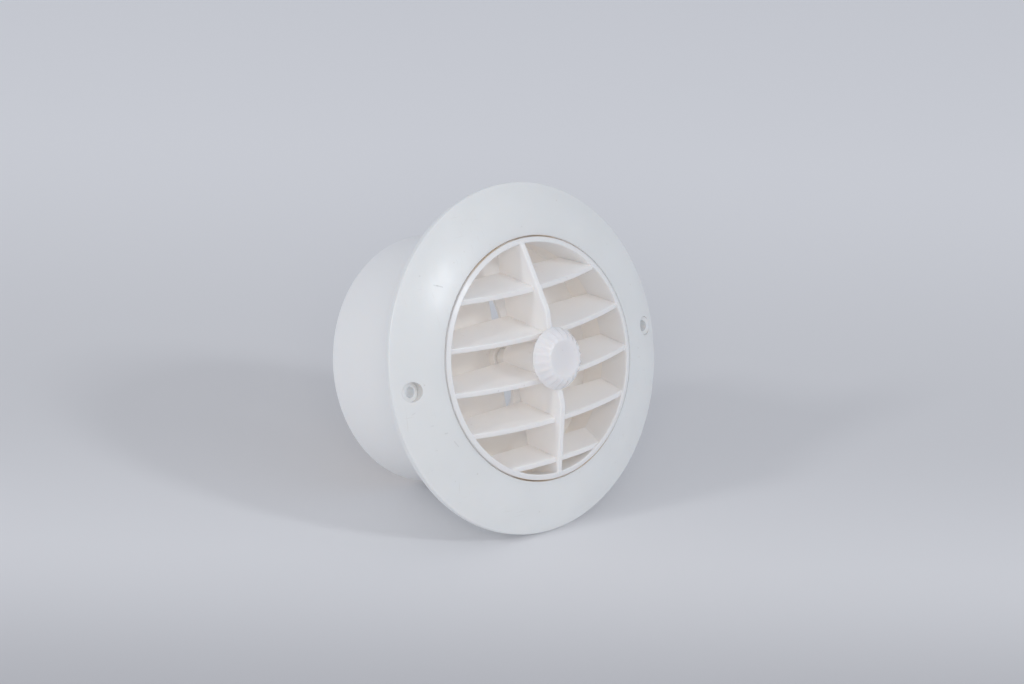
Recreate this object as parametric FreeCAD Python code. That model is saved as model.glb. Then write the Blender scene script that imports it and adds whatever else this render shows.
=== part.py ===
import FreeCAD, Part
import math
import os

# Round air vent: a flanged housing with a hose collar, a louvre grille that turns in it, and a
# knob on the axis that turns a half-disc shutter. Sizes are in millimetres. The axis is Y, the
# face looks along -Y and +Z is up. The origin is the centre of the flange's back, on the wall.

# Flange
flange_diameter = 140.0
flange_rise = 10.8
flange_crown = 0.8
flange_wall = 2.2
rim_height = 2.2
rim_round = 0.8
land_width = 5.0
opening_round = 0.4

# Screw holes on the flange's horizontal diameter
screw_edge_distance = 7.5
screw_hole_diameter = 4.5
screw_head_diameter = 7.8
screw_floor = 4.4
screw_boss_wall = 2.0

# Collar
collar_diameter = 100.0
collar_wall = 2.5
collar_length = 58.0
collar_chamfer = 0.8
collar_root_wall = 2.6
collar_root_setback = 2.0

# Grille ring and its seat in the housing
seat_shoulder = 1.1
ring_gap = 0.3
ring_seat_gap = 0.3
ring_width = 2.3
ring_proud = 0.2
ring_rise = 0.8
ring_back = 3.0
ring_round = 0.4

# Louvre blades
blade_count = 5
blade_end_space = 4.5
blade_thickness = 2.3
blade_nose_round = 0.45
blade_slope = 18.0
blade_row_height = -1.0
blade_setback = 0.9
blade_bow = 7.2

# Fin across the blades, and the hub in its middle
fin_rise = 8.9
fin_start = 0.1
fin_land = 6.5
fin_drop = 1.0
fin_shoulder_round = 8.0
fin_thickness = 2.9
fin_tip_thickness = 2.4
fin_front_round = 0.6
hub_diameter = 14.0
hub_front = 20.2
hub_back = 3.0

# Knob and spindle
knob_diameter = 24.9
knob_back_diameter = 24.2
knob_face_diameter = 14.8
knob_rim_height = 0.6
knob_height = 5.6
knob_gap = 0.55
knob_dish = 0.8
knob_face_rim = 0.4
flute_count = 20
flute_depth = 0.5
flute_share = 0.75
spindle_diameter = 8.0
journal_diameter = 6.0
drive_width = 5.6
pilot_depth = 9.0

# The knob's side from its rim to its face: share of the way in, share of the way forward, and
# share of the flutes' depth
knob_side = [(0.0, 0.0, 0.25), (0.38, 0.57, 1.0), (0.78, 0.93, 0.8), (1.0, 1.0, 0.2)]

# Shutter, and the fixed half wall that it closes against
shutter_front = 13.4
shutter_thickness = 1.6
shutter_edge = -0.5
shutter_corner = 12.0
shutter_gap = 0.8
shutter_boss_diameter = 11.0
shutter_boss_length = 3.0
wall_thickness = 1.3
wall_edge = 7.3
wall_edge_radius = 85.0
bearing_diameter = 13.0
bearing_length = 8.0
bearing_lug_diameter = 24.0

# Washer and screw on the end of the spindle
washer_diameter = 12.0
washer_thickness = 1.0
screw_diameter = 3.0
screw_head_width = 5.6
screw_head_height = 2.0
screw_length = 8.0
screw_slot_width = 0.8
screw_slot_depth = 0.9

# Clearances
running_clearance = 0.08
drive_clearance = 0.05
face_clearance = 0.3

# Sizes that follow from those above
flange_radius = flange_diameter / 2
collar_radius = collar_diameter / 2
collar_bore = collar_radius - collar_wall
seat_radius = collar_bore + seat_shoulder
seat_depth = ring_back + ring_seat_gap
root_radius = seat_radius + collar_root_wall
land_radius = flange_radius - land_width
screw_radius = flange_radius - screw_edge_distance
ring_radius = seat_radius - ring_gap
ring_bore = ring_radius - ring_width
ring_middle = ring_radius - ring_width / 2
ring_edge = flange_rise + ring_proud
ring_front = ring_edge + ring_rise
knob_radius = knob_diameter / 2
recess_radius = knob_radius + knob_gap
blade_pitch = (2 * ring_bore - blade_end_space) / blade_count
knob_back = hub_front + face_clearance
knob_front = knob_back + knob_height
spindle_radius = spindle_diameter / 2
journal_radius = journal_diameter / 2
shutter_back = shutter_front + shutter_thickness
wall_front = shutter_back + face_clearance
bearing_back = wall_front + bearing_length
spindle_end = bearing_back + face_clearance

AXIS = FreeCAD.Vector(0, 1, 0)
ORIGIN = FreeCAD.Vector(0, 0, 0)
REACH = flange_diameter + collar_length
SAME = 1e-4
SETTLING_STEPS = 20
SEAM_ANGLE = 70.0


def point(x, y, z=0.0):
    return FreeCAD.Vector(x, y, z)


def polar(radius, degrees, y):
    angle = math.radians(degrees)
    return point(radius * math.cos(angle), y, radius * math.sin(angle))


def line(start, end):
    return Part.makeLine(start, end)


def arc(start, middle, end):
    return Part.Arc(start, middle, end).toShape()


def turned(edges):
    """Solid of revolution about the axis, from profile edges drawn as (radius, y).

    Its seam lies where no blade, fin or screw hole crosses it."""
    face = Part.Face(Part.Wire(edges))
    face.rotate(ORIGIN, AXIS, -SEAM_ANGLE)
    return face.revolve(ORIGIN, AXIS, 360)


def path(points):
    """Straight edges from each point to the next."""
    return [line(a, b) for a, b in zip(points, points[1:])]


def outline(points):
    """Edges of a closed outline with straight sides."""
    return path(points + points[:1])


def rod(radius, start, end, x=0.0):
    """Cylinder along the axis direction, from y = start to y = end."""
    return Part.makeCylinder(radius, end - start, point(x, start), AXIS)


def block(low, high):
    size = high - low
    return Part.makeBox(size.x, size.y, size.z, low)


def rings_at(shape, radius, y):
    """Circular edges of the given radius in the plane at y."""
    found = []
    for edge in shape.Edges:
        if not isinstance(edge.Curve, Part.Circle):
            continue
        same_radius = abs(edge.Curve.Radius - radius) < SAME
        if same_radius and abs(edge.Curve.Center.y - y) < SAME:
            found.append(edge)
    return found


def rounded_corner(before, corner, after, radius):
    """Start, middle and end of the arc that rounds a corner of an outline."""
    back = (before - corner).normalize()
    ahead = (after - corner).normalize()
    half = back.getAngle(ahead) / 2
    reach = radius / math.tan(half)
    inward = (back + ahead).normalize()
    middle = corner + inward * (radius / math.sin(half) - radius)
    return corner + back * reach, middle, corner + ahead * reach


def crown_round(crown, wall, radius):
    """Round between a crowned face and a wall parallel to the axis: its start, middle and end.

    The crown is the face's circle in the profile. A positive radius rounds the opening, where the
    material lies outside the wall; a negative one rounds the rim, where it lies inside."""
    size = abs(radius)
    reach = crown.Radius - size
    x = wall + radius
    centre = point(x, crown.Center.y - math.sqrt(reach ** 2 - (x - crown.Center.x) ** 2))
    on_face = crown.Center + (centre - crown.Center) * (crown.Radius / reach)
    on_wall = point(wall, centre.y)
    outward = (on_face + on_wall - centre * 2).normalize()
    return on_face, centre + outward * size, on_wall


def make_housing():
    rim = point(flange_radius, -rim_height)
    lip = point(seat_radius, -flange_rise)
    slope = lip - rim
    outward = point(-slope.y, slope.x).normalize() * flange_crown
    crest = (rim + lip) * 0.5 + outward
    crown = arc(rim, crest, lip).Curve
    rim_arc = crown_round(crown, flange_radius, -rim_round)
    lip_arc = crown_round(crown, seat_radius, opening_round)
    wall_drop = flange_wall * slope.Length / abs(slope.x)

    def underside(radius):
        share = (flange_radius - radius) / abs(slope.x)
        return point(radius, rim.y + slope.y * share + wall_drop)

    front = [
        line(point(flange_radius, 0), rim_arc[2]),
        arc(*rim_arc),
        arc(rim_arc[0], crest, lip_arc[0]),
        arc(*lip_arc),
    ]
    tube = [
        lip_arc[2],
        point(seat_radius, seat_depth),
        point(collar_bore, seat_depth),
        point(collar_bore, collar_length),
        point(collar_radius - collar_chamfer, collar_length),
        point(collar_radius, collar_length - collar_chamfer),
        point(collar_radius, -collar_root_setback),
        point(root_radius, -collar_root_setback),
        underside(root_radius),
        underside(land_radius),
        point(land_radius, 0),
        point(flange_radius, 0),
    ]
    body = turned(front + path(tube))

    # Screw bosses fill the hollow flange from its back up into its wall
    lip_centre = point(0, lip_arc[2].y)
    filled = turned(front + path([lip_arc[2], lip_centre, ORIGIN, point(flange_radius, 0)]))
    filled.translate(AXIS * (flange_wall / 2))
    bosses = []
    cuts = []
    boss_radius = screw_head_diameter / 2 + screw_boss_wall
    for x in (-screw_radius, screw_radius):
        bosses.append(rod(boss_radius, -flange_rise, 0, x).common(filled))
        cuts.append(rod(screw_head_diameter / 2, -REACH, -screw_floor, x))
        cuts.append(rod(screw_hole_diameter / 2, -REACH, REACH, x))

    # Fixed half wall with a hollow curved edge, and a lug with the bearing of the spindle
    wall_back = wall_front + wall_thickness
    disc = rod(collar_bore + collar_wall / 2, wall_front, wall_back)
    half = disc.cut(rod(wall_edge_radius, -REACH, REACH, wall_edge - wall_edge_radius))
    lug = rod(bearing_lug_diameter / 2, wall_front, wall_back)
    bearing = rod(bearing_diameter / 2, wall_front, bearing_back)
    cuts.append(rod(journal_radius + running_clearance, -REACH, REACH))
    body = body.fuse(bosses + [half, lug, bearing]).cut(cuts)
    return body.removeSplitter()


def dome(radius):
    """Place along the axis of the domed front that the blades' edges lie on."""
    return blade_setback - ring_front - blade_bow * (1 - (radius / ring_bore) ** 2)


def blade_reach(x_radius, back_height, at_ring):
    """Depth of a blade along its slope, from its back edge to the dome."""
    slope = math.radians(blade_slope)
    depth = ring_back + ring_front
    for _ in range(SETTLING_STEPS):
        height = back_height - depth * math.sin(slope)
        radius = x_radius if at_ring else abs(height)
        depth = (ring_back - dome(radius)) / math.cos(slope)
    return depth, back_height - depth * math.sin(slope)


def half_width(height):
    return math.sqrt(ring_middle ** 2 - height ** 2)


def make_blade(back_height):
    """One blade with a bowed front, wider than the ring, which trims its ends."""
    side_depth, side_height = blade_reach(ring_middle, back_height, True)
    middle_depth, _ = blade_reach(0.0, back_height, False)
    side_x = half_width(side_height)
    middle = point(0, -middle_depth)
    bow = arc(point(-side_x, -side_depth), middle, point(side_x, -side_depth)).Curve
    end = bow.Center.y - math.sqrt(bow.Radius ** 2 - ring_radius ** 2)
    edges = [
        line(point(-ring_radius, 0), point(-ring_radius, end)),
        arc(point(-ring_radius, end), middle, point(ring_radius, end)),
        line(point(ring_radius, end), point(ring_radius, 0)),
        line(point(ring_radius, 0), point(-ring_radius, 0)),
    ]
    plate = Part.Face(Part.Wire(edges)).extrude(point(0, 0, blade_thickness))
    nose = [edge for edge in plate.Edges if isinstance(edge.Curve, Part.Circle)]
    plate = plate.makeFillet(blade_nose_round, nose)
    plate.translate(point(0, 0, -blade_thickness / 2))
    plate.rotate(ORIGIN, point(1, 0, 0), blade_slope)
    plate.translate(point(0, ring_back, back_height))
    return plate


def blade_heights():
    """Heights of the blades' back edges, in even rows."""
    lowest = blade_row_height - blade_pitch * (blade_count - 1) / 2
    return [lowest + row * blade_pitch for row in range(blade_count)]


def make_fin():
    """Fin across the blades: its upper half, and the mirror image of that below the axis."""
    peak = -ring_front - fin_rise
    middle = point(0, peak + fin_drop, 0)
    shoulder = point(0, peak, recess_radius + fin_land)
    tip = point(0, -ring_front - fin_start, ring_middle)
    corner = rounded_corner(middle, shoulder, tip, fin_shoulder_round)
    back_tip = point(0, ring_back, ring_middle)
    back_middle = point(0, ring_back, 0)
    edges = [
        line(middle, corner[0]),
        arc(*corner),
        line(corner[2], tip),
        line(tip, back_tip),
        line(back_tip, back_middle),
        line(back_middle, middle),
    ]
    slab = Part.Face(Part.Wire(edges)).extrude(point(2 * fin_thickness, 0, 0))
    slab.translate(point(-fin_thickness, 0, 0))
    plan = [
        point(-fin_thickness / 2, -REACH, 0),
        point(fin_thickness / 2, -REACH, 0),
        point(fin_tip_thickness / 2, -REACH, ring_middle),
        point(-fin_tip_thickness / 2, -REACH, ring_middle),
    ]
    taper = Part.Face(Part.Wire(outline(plan))).extrude(point(0, 2 * REACH, 0))
    half = slab.common(taper)
    front_edges = []
    for edge in half.Edges:
        on_side = abs(edge.CenterOfMass.x) > SAME
        if on_side and edge.BoundBox.YMax < -ring_front:
            front_edges.append(edge)
    half = half.makeFillet(fin_front_round, front_edges)
    return half.fuse(half.mirror(ORIGIN, point(0, 0, 1)))


def make_grille():
    back_inner = point(ring_bore, ring_back)
    front_inner = point(ring_bore, -ring_front)
    front_outer = point(ring_radius, -ring_edge)
    back_outer = point(ring_radius, ring_back)
    inner = rounded_corner(back_inner, front_inner, front_outer, ring_round)
    outer = rounded_corner(front_inner, front_outer, back_outer, ring_round)
    ring = turned([
        line(back_inner, inner[0]),
        arc(*inner),
        line(inner[2], outer[0]),
        arc(*outer),
        line(outer[2], back_outer),
        line(back_outer, back_inner),
    ])
    blades = [make_blade(height) for height in blade_heights()]
    spokes = blades[0].fuse(blades[1:] + [make_fin()])
    spokes = spokes.common(rod(ring_middle, -REACH, ring_back))
    spokes = spokes.cut(rod(recess_radius, -REACH, -hub_front))
    hub = rod(hub_diameter / 2, -hub_front, hub_back)
    grille = ring.fuse([spokes, hub])
    grille = grille.cut(rod(spindle_radius + running_clearance, -REACH, REACH))
    return grille.removeSplitter()


def fluted_wire(radius, depth, y):
    """Round outline with hollow flutes between rounded crests."""
    pitch = 360.0 / flute_count
    flute = pitch * flute_share
    edges = []
    for number in range(flute_count):
        start = number * pitch
        end = start + flute
        hollow = polar(radius - depth, start + flute / 2, y)
        crest = polar(radius, (end + start + pitch) / 2, y)
        edges.append(arc(polar(radius, start, y), hollow, polar(radius, end, y)))
        edges.append(arc(polar(radius, end, y), crest, polar(radius, start + pitch, y)))
    return Part.Wire(edges)


def make_knob():
    face_radius = knob_face_diameter / 2
    rim = -knob_back - knob_rim_height
    side = []
    for inward, forward, flute in knob_side:
        radius = knob_radius + inward * (face_radius - knob_radius)
        y = rim + forward * (-knob_front - rim)
        side.append(fluted_wire(radius, flute * flute_depth, y))
    back_flute = knob_side[0][2] * flute_depth
    back = fluted_wire(knob_back_diameter / 2, back_flute, -knob_back)
    skirt = Part.makeLoft([back, side[0]], True, True)
    crown = Part.makeLoft(side, True, False)

    # Dished face: a shallow spherical hollow inside the face's rim
    dish_radius = face_radius - knob_face_rim
    sphere_radius = (dish_radius ** 2 + knob_dish ** 2) / (2 * knob_dish)
    sphere_centre = point(0, -knob_front + knob_dish - sphere_radius)
    dish = Part.makeSphere(sphere_radius, sphere_centre)

    spindle = rod(spindle_radius, -knob_back, shutter_front)
    width = drive_width / 2
    drive = block(point(-width, shutter_front, -width), point(width, shutter_back, width))
    journal = rod(journal_radius, shutter_back, spindle_end)
    pilot = rod(screw_diameter / 2 + drive_clearance, spindle_end - pilot_depth, spindle_end)
    knob = skirt.fuse([crown, spindle, drive, journal]).cut([dish, pilot])
    return knob.removeSplitter()


def make_shutter():
    radius = collar_bore - shutter_gap
    corner_x = shutter_edge - shutter_corner
    reach = radius - shutter_corner
    corner_z = math.sqrt(reach ** 2 - corner_x ** 2)

    def corner(side):
        centre = point(corner_x, shutter_front, side * corner_z)
        outward = point(corner_x, 0, side * corner_z).normalize()
        between = (outward + point(1, 0, 0)).normalize()
        on_edge = point(shutter_edge, shutter_front, side * corner_z)
        on_rim = centre + outward * shutter_corner
        return on_edge, centre + between * shutter_corner, on_rim

    high = corner(1)
    low = corner(-1)
    edges = [
        line(low[0], high[0]),
        arc(*high),
        arc(high[2], point(-radius, shutter_front), low[2]),
        arc(low[2], low[1], low[0]),
    ]
    plate = Part.Face(Part.Wire(edges)).extrude(point(0, shutter_thickness, 0))
    boss = rod(shutter_boss_diameter / 2, shutter_front - shutter_boss_length, shutter_back)
    width = drive_width / 2 + drive_clearance
    socket = block(point(-width, -REACH, -width), point(width, REACH, width))
    bore = rod(spindle_radius + drive_clearance, -REACH, shutter_front)
    socket = socket.common(rod(REACH, shutter_front, REACH))
    return plate.fuse(boss).cut([bore, socket]).removeSplitter()


def make_washer():
    washer = rod(washer_diameter / 2, spindle_end, spindle_end + washer_thickness)
    return washer.cut(rod(screw_diameter / 2 + drive_clearance, -REACH, REACH))


def make_screw():
    seat = spindle_end + washer_thickness
    top = seat + screw_head_height
    head = rod(screw_head_width / 2, seat, top)
    head = head.makeFillet(screw_head_height / 2, rings_at(head, screw_head_width / 2, top))
    shank = rod(screw_diameter / 2, seat - screw_length, seat)
    slot = block(
        point(-REACH, top - screw_slot_depth, -screw_slot_width / 2),
        point(REACH, top + REACH, screw_slot_width / 2),
    )
    return head.fuse(shank).cut(slot).removeSplitter()


pieces = {
    "housing": make_housing(),
    "grille": make_grille(),
    "knob": make_knob(),
    "shutter": make_shutter(),
    "shutter_washer": make_washer(),
    "shutter_screw": make_screw(),
}

os.makedirs("parts", exist_ok=True)
for name, shape in pieces.items():
    shape.exportStep(os.path.join("parts", name + ".step"))
    print(name, "solids", len(shape.Solids), "valid", shape.isValid(), "volume", round(shape.Volume, 1))
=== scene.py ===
import math

import bmesh
import bpy
from mathutils import Matrix, Vector

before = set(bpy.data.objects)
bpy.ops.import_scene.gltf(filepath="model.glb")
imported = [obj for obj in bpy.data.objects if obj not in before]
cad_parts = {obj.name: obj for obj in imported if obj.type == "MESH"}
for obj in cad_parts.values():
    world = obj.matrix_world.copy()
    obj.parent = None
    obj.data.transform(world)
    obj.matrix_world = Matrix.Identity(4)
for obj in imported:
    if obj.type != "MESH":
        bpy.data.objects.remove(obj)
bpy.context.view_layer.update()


# Housing: the flange that meets the wall, the hose collar behind it and the half wall inside.
# One white injection moulding in satin plastic; two screws through the flange hold it.
# A little handling shows: small scuffs and dots on the flange, and a dark speck on the collar.

def chart(red, green, blue):
    """A colour as a paint chart gives it, 0 to 255, for a colour socket."""
    shares = (red / 255, green / 255, blue / 255)
    return tuple(((c + 0.055) / 1.055) ** 2.4 for c in shares) + (1.0,)


def new_group(name, inputs, outputs):
    """An empty shader node group with the named sockets; returns it, its input and its output node."""
    group = bpy.data.node_groups.new(name, "ShaderNodeTree")
    kinds = {"color": "NodeSocketColor", "value": "NodeSocketFloat"}
    for socket, kind in inputs:
        group.interface.new_socket(socket, in_out="INPUT", socket_type=kinds[kind])
    for socket, kind in outputs:
        group.interface.new_socket(socket, in_out="OUTPUT", socket_type=kinds[kind])
    return group, group.nodes.new("NodeGroupInput"), group.nodes.new("NodeGroupOutput")


def noise(tree, vector, scale, detail):
    """Noise over the surface, from 0 to 1."""
    node = tree.nodes.new("ShaderNodeTexNoise")
    node.inputs["Scale"].default_value = scale
    node.inputs["Detail"].default_value = detail
    tree.links.new(vector, node.inputs["Vector"])
    return node.outputs["Fac"]


def feed(tree, setting, socket):
    """Gives a socket what another socket puts out, or a plain value."""
    if isinstance(setting, bpy.types.NodeSocket):
        tree.links.new(setting, socket)
    else:
        socket.default_value = setting


def step(tree, value, start, end, low=0.0, high=1.0):
    """A soft step: low where the value is at start, high where it is at end."""
    node = tree.nodes.new("ShaderNodeMapRange")
    node.interpolation_type = "SMOOTHSTEP"
    tree.links.new(value, node.inputs["Value"])
    for socket, setting in (("From Min", start), ("From Max", end), ("To Min", low), ("To Max", high)):
        feed(tree, setting, node.inputs[socket])
    return node.outputs["Result"]


def maths(tree, operation, first, second):
    """Two values put together; either may be a plain number."""
    node = tree.nodes.new("ShaderNodeMath")
    node.operation = operation
    for socket, setting in zip(node.inputs, (first, second)):
        feed(tree, setting, socket)
    return node.outputs["Value"]


def vector_maths(tree, operation, first, second):
    """Two vectors put together; either may be a plain vector. Returns a value where the answer is one."""
    node = tree.nodes.new("ShaderNodeVectorMath")
    node.operation = operation
    for socket, setting in zip(node.inputs, (first, second)):
        feed(tree, setting, socket)
    return next(socket for socket in node.outputs if socket.enabled)


def across_axis(tree, offset):
    """How long an offset is across the vent's axis, without its part along the axis."""
    flat = vector_maths(tree, "MULTIPLY", offset, (1, 0, 1))
    return vector_maths(tree, "LENGTH", flat, (0, 0, 0))


def blend(tree, factor, first, second):
    """One colour faded into another; either may be a plain colour."""
    node = tree.nodes.new("ShaderNodeMix")
    node.data_type = "RGBA"
    tree.links.new(factor, node.inputs["Factor"])
    # The colour sockets share their names with others, so they go by number
    first_colour, second_colour, mixed_colour = 6, 7, 2
    feed(tree, first, node.inputs[first_colour])
    feed(tree, second, node.inputs[second_colour])
    return node.outputs[mixed_colour]


def moulded_skin():
    """The skin of a white moulding: clouded colour, uneven gloss, hair scratches, dust and a fine grain."""
    group, given, result = new_group(
        "moulded_skin",
        (("Plastic", "color"), ("Cloud", "color"), ("Dirt", "color"), ("Smoothest", "value"),
         ("Dullest", "value"), ("Scratches", "value"), ("Dust", "value")),
        (("Color", "color"), ("Roughness", "value"), ("Height", "value")))
    place = group.nodes.new("ShaderNodeTexCoord").outputs["Object"]
    clouds = step(group, noise(group, place, scale=45, detail=3), 0.3, 0.7)
    tone = blend(group, clouds, given.outputs["Plastic"], given.outputs["Cloud"])

    # Hair scratches: two sets of long thin streaks, only in patches
    streaks = None
    for turn, stretch in (((0, 35, 0), (60, 400, 3000)), ((0, -50, 0), (3000, 400, 60))):
        mapping = group.nodes.new("ShaderNodeMapping")
        mapping.inputs["Rotation"].default_value = [math.radians(a) for a in turn]
        mapping.inputs["Scale"].default_value = stretch
        group.links.new(place, mapping.inputs["Vector"])
        streak = step(group, noise(group, mapping.outputs["Vector"], scale=1, detail=1), 0.70, 0.76)
        streaks = streak if streaks is None else maths(group, "MAXIMUM", streaks, streak)
    patches = step(group, noise(group, place, scale=70, detail=2), 0.52, 0.62)
    patchy = maths(group, "MULTIPLY", streaks, patches)
    scratched = maths(group, "MULTIPLY", patchy, given.outputs["Scratches"])

    # Dust: a sparse scatter of pale brown specks
    cells = group.nodes.new("ShaderNodeTexVoronoi")
    cells.inputs["Scale"].default_value = 330
    group.links.new(place, cells.inputs["Vector"])
    speck = step(group, cells.outputs["Distance"], 0.16, 0.06)
    chance = group.nodes.new("ShaderNodeSeparateColor")
    group.links.new(cells.outputs["Color"], chance.inputs["Color"])
    rare = step(group, chance.outputs["Red"], 0.88, 0.96)
    dusty = maths(group, "MULTIPLY", maths(group, "MULTIPLY", speck, rare), given.outputs["Dust"])

    # Scratches and dust colour the plastic and dull it
    scratch_dirt = 0.35
    marked = maths(group, "ADD", maths(group, "MULTIPLY", scratched, scratch_dirt), dusty)
    group.links.new(blend(group, marked, tone, given.outputs["Dirt"]), result.inputs["Color"])
    gloss = step(group, noise(group, place, scale=160, detail=4), 0.3, 0.7,
                 given.outputs["Smoothest"], given.outputs["Dullest"])
    dulling = 0.2
    worn = maths(group, "MULTIPLY", maths(group, "ADD", scratched, dusty), dulling)
    group.links.new(maths(group, "ADD", gloss, worn), result.inputs["Roughness"])

    # The mould's fine grain and a slow ripple, with the scratches cut in
    grain_share = 0.35
    ripple_share = 0.65
    scratch_depth = 0.5
    grain = maths(group, "MULTIPLY", noise(group, place, scale=2200, detail=2), grain_share)
    ripple = maths(group, "MULTIPLY", noise(group, place, scale=260, detail=2), ripple_share)
    relief = maths(group, "ADD", grain, ripple)
    height = maths(group, "SUBTRACT", relief, maths(group, "MULTIPLY", scratched, scratch_depth))
    group.links.new(height, result.inputs["Height"])
    return group


skin = moulded_skin()


def gap_grime():
    """Where the gap round the grille holds grime: from a clean radius to a grimy one, and most at the
    top and the bottom."""
    group, given, result = new_group(
        "gap_grime",
        (("Clean Radius", "value"), ("Grimy Radius", "value"), ("Amount", "value")),
        (("Mask", "value"),))
    place = group.nodes.new("ShaderNodeTexCoord").outputs["Object"]
    axes = group.nodes.new("ShaderNodeSeparateXYZ")
    group.links.new(place, axes.inputs["Vector"])
    height = maths(group, "ABSOLUTE", axes.outputs["Z"], 0.0)
    ends = step(group, height, 0.032, 0.047, low=0.12)
    radius = across_axis(group, place)
    near = step(group, radius, given.outputs["Clean Radius"], given.outputs["Grimy Radius"])
    patches = step(group, noise(group, place, scale=60, detail=3), 0.25, 0.7, low=0.35)
    held = maths(group, "MULTIPLY", maths(group, "MULTIPLY", near, patches), ends)
    group.links.new(maths(group, "MULTIPLY", held, given.outputs["Amount"]), result.inputs["Mask"])
    return group


grime = gap_grime()
grime_amount = 0.8
grime_tone = chart(214, 172, 124)


def lay_grime(tree, colour, clean_radius, grimy_radius):
    """Lays the gap's grime over a colour; returns the new colour."""
    held = tree.nodes.new("ShaderNodeGroup")
    held.node_tree = grime
    held.inputs["Clean Radius"].default_value = clean_radius
    held.inputs["Grimy Radius"].default_value = grimy_radius
    held.inputs["Amount"].default_value = grime_amount
    return blend(tree, held.outputs["Mask"], colour, grime_tone)


# How much of the light goes into the plastic and how far it spreads there, in the body and in thin edges
body_weight = 0.6
body_spread = 0.003
edge_weight = 1.0
edge_spread = 0.020


def thin_edge(tree, shader, mask):
    """Lets light spread as in a thin edge where the mask is 1, and as in the body where it is 0."""
    weight = step(tree, mask, 0.0, 1.0, body_weight, edge_weight)
    spread = step(tree, mask, 0.0, 1.0, body_spread, edge_spread)
    tree.links.new(weight, shader.inputs["Subsurface Weight"])
    tree.links.new(spread, shader.inputs["Subsurface Scale"])


def plastic(name, tone, cloud, smoothest, dullest, scratches, dust):
    """A white plastic with the moulded skin that lets a little light through: its colour, a second
    colour for its clouds, the range of its roughness, and how scratched and dusty it is. Returns the
    material, its shader and its colour."""
    material = bpy.data.materials.new(name)
    material.use_nodes = True
    tree = material.node_tree
    shader = tree.nodes["Principled BSDF"]
    cover = tree.nodes.new("ShaderNodeGroup")
    cover.node_tree = skin
    cover.inputs["Plastic"].default_value = tone
    cover.inputs["Cloud"].default_value = cloud
    cover.inputs["Dirt"].default_value = chart(170, 158, 142)
    cover.inputs["Smoothest"].default_value = smoothest
    cover.inputs["Dullest"].default_value = dullest
    cover.inputs["Scratches"].default_value = scratches
    cover.inputs["Dust"].default_value = dust
    tree.links.new(cover.outputs["Color"], shader.inputs["Base Color"])
    tree.links.new(cover.outputs["Roughness"], shader.inputs["Roughness"])
    bump = tree.nodes.new("ShaderNodeBump")
    bump.inputs["Strength"].default_value = 0.12
    bump.inputs["Distance"].default_value = 0.0001
    tree.links.new(cover.outputs["Height"], bump.inputs["Height"])
    tree.links.new(bump.outputs["Normal"], shader.inputs["Normal"])
    shader.inputs["Subsurface Weight"].default_value = body_weight
    shader.inputs["Subsurface Radius"].default_value = (0.88, 0.80, 0.74)
    shader.inputs["Subsurface Scale"].default_value = body_spread
    return material, shader, cover.outputs["Color"]


housing_plastic, shader, colour = plastic(
    "housing_plastic", tone=chart(238, 240, 240), cloud=chart(235, 237, 237),
    smoothest=0.29, dullest=0.35, scratches=0.4, dust=0.2)
tree = housing_plastic.node_tree
place = tree.nodes.new("ShaderNodeTexCoord").outputs["Object"]

# Scuffs and specks: where each starts and ends and its half width, in millimetres, and how dark it is
mm_per_metre = 1000
scuff_tone = chart(98, 96, 94)
scuffs = [
    ((-44.5, -7.5, 38.7), (-43.0, -8.1, 37.9), 0.35, 0.22),
    ((-43.4, -7.9, 38.3), (-41.3, -8.7, 37.2), 0.35, 0.28),
    ((-52.1, -8.8, -18.8), (-51.1, -9.2, -18.8), 0.45, 0.15),
    ((-48.6, -9.4, -22.7), (-47.1, -9.5, -25.0), 0.40, 0.14),
    ((-57.5, -7.5, -14.7), (-56.4, -7.8, -14.7), 0.40, 0.10),
    ((-63.8, -5.2, -8.7), (-62.7, -5.6, -8.2), 0.40, 0.10),
    ((-56.2, -6.5, -24.7), (-55.6, -6.7, -24.7), 0.40, 0.08),
    ((-43.6, 44.9, -24.4), (-43.6, 45.1, -24.4), 0.70, 0.90),
    ((-44.1, 48.1, -23.6), (-44.1, 48.3, -23.6), 0.45, 0.35),
]
for start, end, reach, darkness in scuffs:
    start = Vector(start) / mm_per_metre
    along = Vector(end) / mm_per_metre - start
    offset = vector_maths(tree, "SUBTRACT", place, start)
    share = vector_maths(tree, "DOT_PRODUCT", offset, along / along.length_squared)
    held = maths(tree, "MINIMUM", maths(tree, "MAXIMUM", share, 0.0), 1.0)
    nearest = vector_maths(tree, "MULTIPLY", along, held)
    away = vector_maths(tree, "DISTANCE", offset, nearest)
    mask = step(tree, away, reach / mm_per_metre, 0.0, high=darkness)
    colour = blend(tree, mask, colour, scuff_tone)

# Grime lies in the gap round the grille. From here on, a pair of numbers in brackets is where a
# change of look starts and ends, in metres
seat_clean_radius = 0.0490
seat_grimy_radius = 0.0486
colour = lay_grime(tree, colour, seat_clean_radius, seat_grimy_radius)

# The walls of the two counterbores are painted darker: painted shade in the recesses
screw_reach = 0.0625
wall_outside = (0.00395, 0.00391)
wall_inside = (0.0037, 0.00385)
counterbore_shade_share = 0.4
counterbore_shade_tone = chart(196, 190, 184)
for side in (-1, 1):
    offset = vector_maths(tree, "SUBTRACT", place, (side * screw_reach, 0, 0))
    reach = across_axis(tree, offset)
    wall = maths(tree, "MULTIPLY", step(tree, reach, *wall_outside), step(tree, reach, *wall_inside))
    colour = blend(tree, maths(tree, "MULTIPLY", wall, counterbore_shade_share), colour, counterbore_shade_tone)
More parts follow.
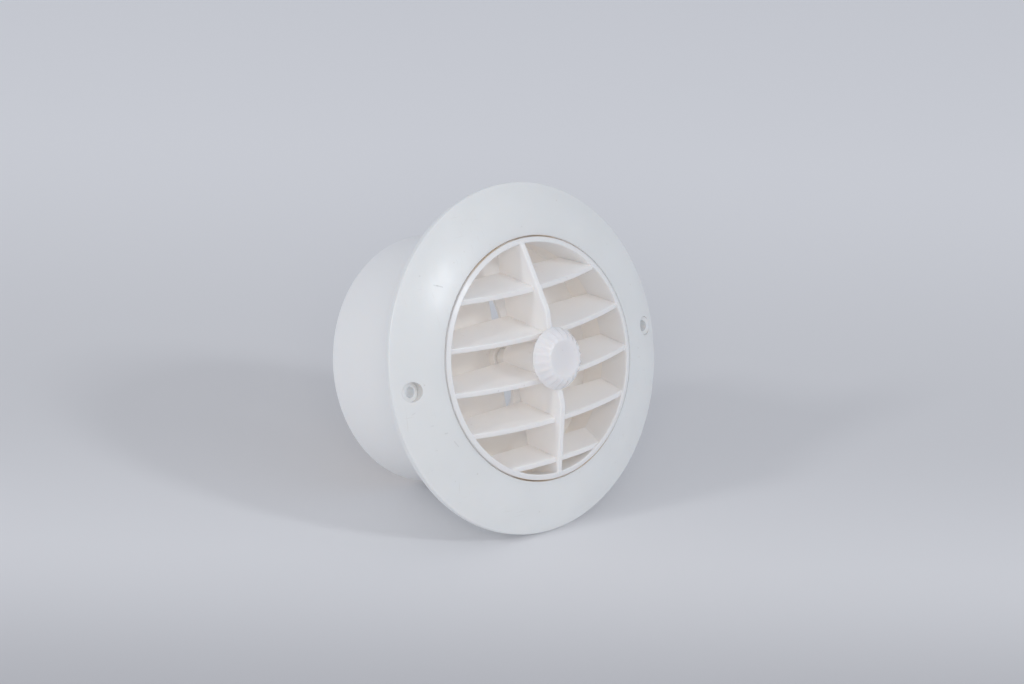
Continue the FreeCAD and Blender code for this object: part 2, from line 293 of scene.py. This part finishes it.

# The collar is paler than the flange. Its inside is painted a warm, paler white: painted light that lifts
# the shade inside the vent
collar_tone = chart(245, 246, 246)
collar_start = (-0.002, 0.002)
inside_painted_light_tone = chart(254, 250, 245)
inside_edge = (0.0484, 0.0480)
inside_start = (0.0005, 0.003)
axes = tree.nodes.new("ShaderNodeSeparateXYZ")
tree.links.new(place, axes.inputs["Vector"])
along_axis = axes.outputs["Y"]
radius = across_axis(tree, place)
colour = blend(tree, step(tree, along_axis, *collar_start), colour, collar_tone)
inside = maths(tree, "MULTIPLY", step(tree, radius, *inside_edge), step(tree, along_axis, *inside_start))
colour = blend(tree, inside, colour, inside_painted_light_tone)
tree.links.new(colour, shader.inputs["Base Color"])

# Light spreads further through the thin lip of the grille's seat
lip_edge = (0.0490, 0.0487)
lip_start = (-0.004, -0.006)
lip = maths(tree, "MULTIPLY", step(tree, radius, *lip_edge), step(tree, along_axis, *lip_start))
thin_edge(tree, shader, lip)
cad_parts["housing"].data.materials[0] = housing_plastic


# Grille: the ring with its louvre blades, fin and hub, one white moulding.
# It snaps into the flange's seat and turns there. The ring is a shade darker than the blades.

grille_plastic, shader, colour = plastic(
    "grille_plastic", tone=chart(252, 250, 248), cloud=chart(250, 248, 246),
    smoothest=0.29, dullest=0.37, scratches=0.3, dust=0.2)
tree = grille_plastic.node_tree
place = tree.nodes.new("ShaderNodeTexCoord").outputs["Object"]
ring_tone = chart(242, 242, 242)
ring_start = (0.0455, 0.0462)
ring_clean_radius = 0.0480
ring_grimy_radius = 0.0483
rim_start = (0.0481, 0.04825)
radius = across_axis(tree, place)
colour = blend(tree, step(tree, radius, *ring_start), colour, ring_tone)
colour = lay_grime(tree, colour, ring_clean_radius, ring_grimy_radius)
tree.links.new(colour, shader.inputs["Base Color"])
thin_edge(tree, shader, step(tree, radius, *rim_start))
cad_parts["grille"].data.materials[0] = grille_plastic


# Knob: the fluted button with its spindle, moulded in a milky plastic that lets some light through.
# It turns in the grille's hub and carries the shutter. Its spindle is painted a paler, warmer white:
# painted light that lifts the shade between the hub and the shutter.

knob_plastic, shader, colour = plastic(
    "knob_plastic", tone=chart(243, 242, 243), cloud=chart(239, 238, 240),
    smoothest=0.16, dullest=0.24, scratches=0.3, dust=0.1)
tree = knob_plastic.node_tree
spindle_painted_light_tone = chart(252, 250, 247)
spindle_start = (-0.012, -0.006)
axes = tree.nodes.new("ShaderNodeSeparateXYZ")
tree.links.new(tree.nodes.new("ShaderNodeTexCoord").outputs["Object"], axes.inputs["Vector"])
colour = blend(tree, step(tree, axes.outputs["Y"], *spindle_start), colour, spindle_painted_light_tone)
tree.links.new(colour, shader.inputs["Base Color"])
shader.inputs["Subsurface Weight"].default_value = 1.0
shader.inputs["Subsurface Scale"].default_value = 0.004
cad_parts["knob"].data.materials[0] = knob_plastic


# Shutter: a thin half-disc plate, moulded in a duller white plastic.
# It is pushed on the spindle's flats and turns with the knob.

# Its warm, pale white is painted light that lifts the shade inside the vent
shutter_plastic = plastic(
    "shutter_plastic", tone=chart(254, 250, 245), cloud=chart(252, 248, 243),
    smoothest=0.5, dullest=0.6, scratches=0.3, dust=0.2)[0]
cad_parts["shutter"].data.materials[0] = shutter_plastic


# Washer and screw: small fasteners of zinc-plated steel.
# They hold the spindle behind the half wall.

zinc = bpy.data.materials.new("zinc")
zinc.use_nodes = True
tree = zinc.node_tree
shader = tree.nodes["Principled BSDF"]
shader.inputs["Metallic"].default_value = 1.0
place = tree.nodes.new("ShaderNodeTexCoord").outputs["Object"]
spangle = noise(tree, place, scale=900, detail=3)
tone = blend(tree, spangle, chart(188, 188, 190), chart(214, 214, 212))
tree.links.new(tone, shader.inputs["Base Color"])
tree.links.new(step(tree, spangle, 0.3, 0.7, low=0.28, high=0.45), shader.inputs["Roughness"])
for fastener in ("shutter_washer", "shutter_screw"):
    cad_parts[fastener].data.materials[0] = zinc


# Table: a pale sheet with painted light and shade across it. The vent lies on the edge of its flange and
# the end of its collar, so the sheet leans against the vent's own axis. It fades out far away and can't be
# seen from below.

flange_radius = 0.070
collar_radius = 0.050
collar_edge = 0.0572
table_radius = 3.0
table_lean = math.atan2(flange_radius - collar_radius, collar_edge)
sheet = bmesh.new()
bmesh.ops.create_circle(sheet, cap_ends=True, segments=96, radius=table_radius)
lean = Matrix.Translation((0, 0, -flange_radius)) @ Matrix.Rotation(table_lean, 4, "X")
bmesh.ops.transform(sheet, matrix=lean, verts=sheet.verts)
bmesh.ops.recalc_face_normals(sheet, faces=sheet.faces)
if sheet.faces[:][0].normal.z < 0:
    bmesh.ops.reverse_faces(sheet, faces=sheet.faces)
mesh = bpy.data.meshes.new("table")
sheet.to_mesh(mesh)
sheet.free()
table = bpy.data.objects.new("table", mesh)
bpy.context.scene.collection.objects.link(table)
table_paper = bpy.data.materials.new("table_paper")
table_paper.use_nodes = True
tree = table_paper.node_tree
shader = tree.nodes["Principled BSDF"]
shader.inputs["Roughness"].default_value = 0.9
shader.inputs["Specular IOR Level"].default_value = 0.2
place = tree.nodes.new("ShaderNodeTexCoord").outputs["Object"]

# The sheet is painted palest far behind the vent, with painted light in a band just in front of it and
# painted shade where the
# light falls off further in front: where each soft band starts and ends, in metres behind the vent, and the
# tone that it leads to
behind = (0.60, 0.80, 0.0)
painted_light_bands = [
    (0.45, 0.10, chart(225, 225, 227)),
    (0.10, -0.03, chart(234, 234, 236)),
    (-0.02, -0.17, chart(200, 200, 203)),
]
depth = vector_maths(tree, "DOT_PRODUCT", place, behind)
tone = chart(247, 247, 249)
for start, end, painted_band_tone in painted_light_bands:
    tone = blend(tree, step(tree, depth, start, end), tone, painted_band_tone)
tree.links.new(tone, shader.inputs["Base Color"])
fade = (2.6, 1.2)
whole = step(tree, vector_maths(tree, "LENGTH", place, (0, 0, 0)), *fade)
under = tree.nodes.new("ShaderNodeNewGeometry").outputs["Backfacing"]
tree.links.new(maths(tree, "MULTIPLY", whole, maths(tree, "SUBTRACT", 1.0, under)), shader.inputs["Alpha"])
mesh.materials.append(table_paper)


# Light: two soft boxes, one either side of the camera, a warm fill beside the camera and an even
# pale room. A second lamp at each soft box only adds to its glint in the plastic.

def soft_box(name, place, side, power, tint):
    """A square soft box that looks at the vent; returns it."""
    lamp = bpy.data.lights.new(name, "AREA")
    lamp.shape = "SQUARE"
    lamp.size = side
    lamp.energy = power
    lamp.color = tint
    box = bpy.data.objects.new(name, lamp)
    box.location = place
    box.rotation_euler = (-Vector(place)).to_track_quat("-Z", "Y").to_euler()
    bpy.context.scene.collection.objects.link(box)
    return box


room_light = (0.475, 0.495, 0.54, 1.0)
backdrop = chart(196, 199, 208)
right_place = (0.36, -1.87, 0.61)
left_place = (-1.67, -0.18, 1.09)
fill_place = (-1.20, -1.40, 0.36)
glint_tint = (0.97, 0.99, 1.0)
soft_box("soft_box_right", right_place, side=0.25, power=5.6, tint=(0.93, 0.97, 1.0))
soft_box("soft_box_left", left_place, side=0.25, power=5.0, tint=(0.95, 0.98, 1.0))
glint_right = soft_box("glint_right", right_place, side=0.26, power=1.5, tint=glint_tint)
glint_left = soft_box("glint_left", left_place, side=0.26, power=4.0, tint=glint_tint)
for glint in (glint_right, glint_left):
    glint.visible_diffuse = False
fill = soft_box("front_fill", fill_place, side=0.6, power=5.8, tint=(1.0, 0.92, 0.85))
fill.visible_glossy = False
room = bpy.data.worlds.new("room")
bpy.context.scene.world = room
room.use_nodes = True
tree = room.node_tree
air = tree.nodes["Background"]
air.inputs["Strength"].default_value = 1.0
rays = tree.nodes.new("ShaderNodeLightPath").outputs
mirrored = maths(tree, "ADD", rays["Is Glossy Ray"], rays["Is Transmission Ray"])
seen = maths(tree, "ADD", rays["Is Camera Ray"], mirrored)
tree.links.new(blend(tree, seen, room_light, backdrop), air.inputs["Color"])


# Camera: a long lens at the photograph's angle, rolled a little to one side.
# White plastic passes light on many times, so the light may bounce more often than by default.

lens = bpy.data.cameras.new("camera")
lens.lens = 158.2
lens.sensor_width = 36
lens.clip_start = 0.05
camera = bpy.data.objects.new("camera", lens)
camera.location = (-1.14886, -1.34657, 0.24905)
camera.rotation_euler = [math.radians(a) for a in (82.1127, 9.1574, -41.6490)]
bpy.context.scene.collection.objects.link(camera)
bpy.context.scene.camera = camera
bpy.context.scene.view_settings.view_transform = "Standard"
bpy.context.scene.cycles.max_bounces = 20
bpy.context.scene.cycles.diffuse_bounces = 16
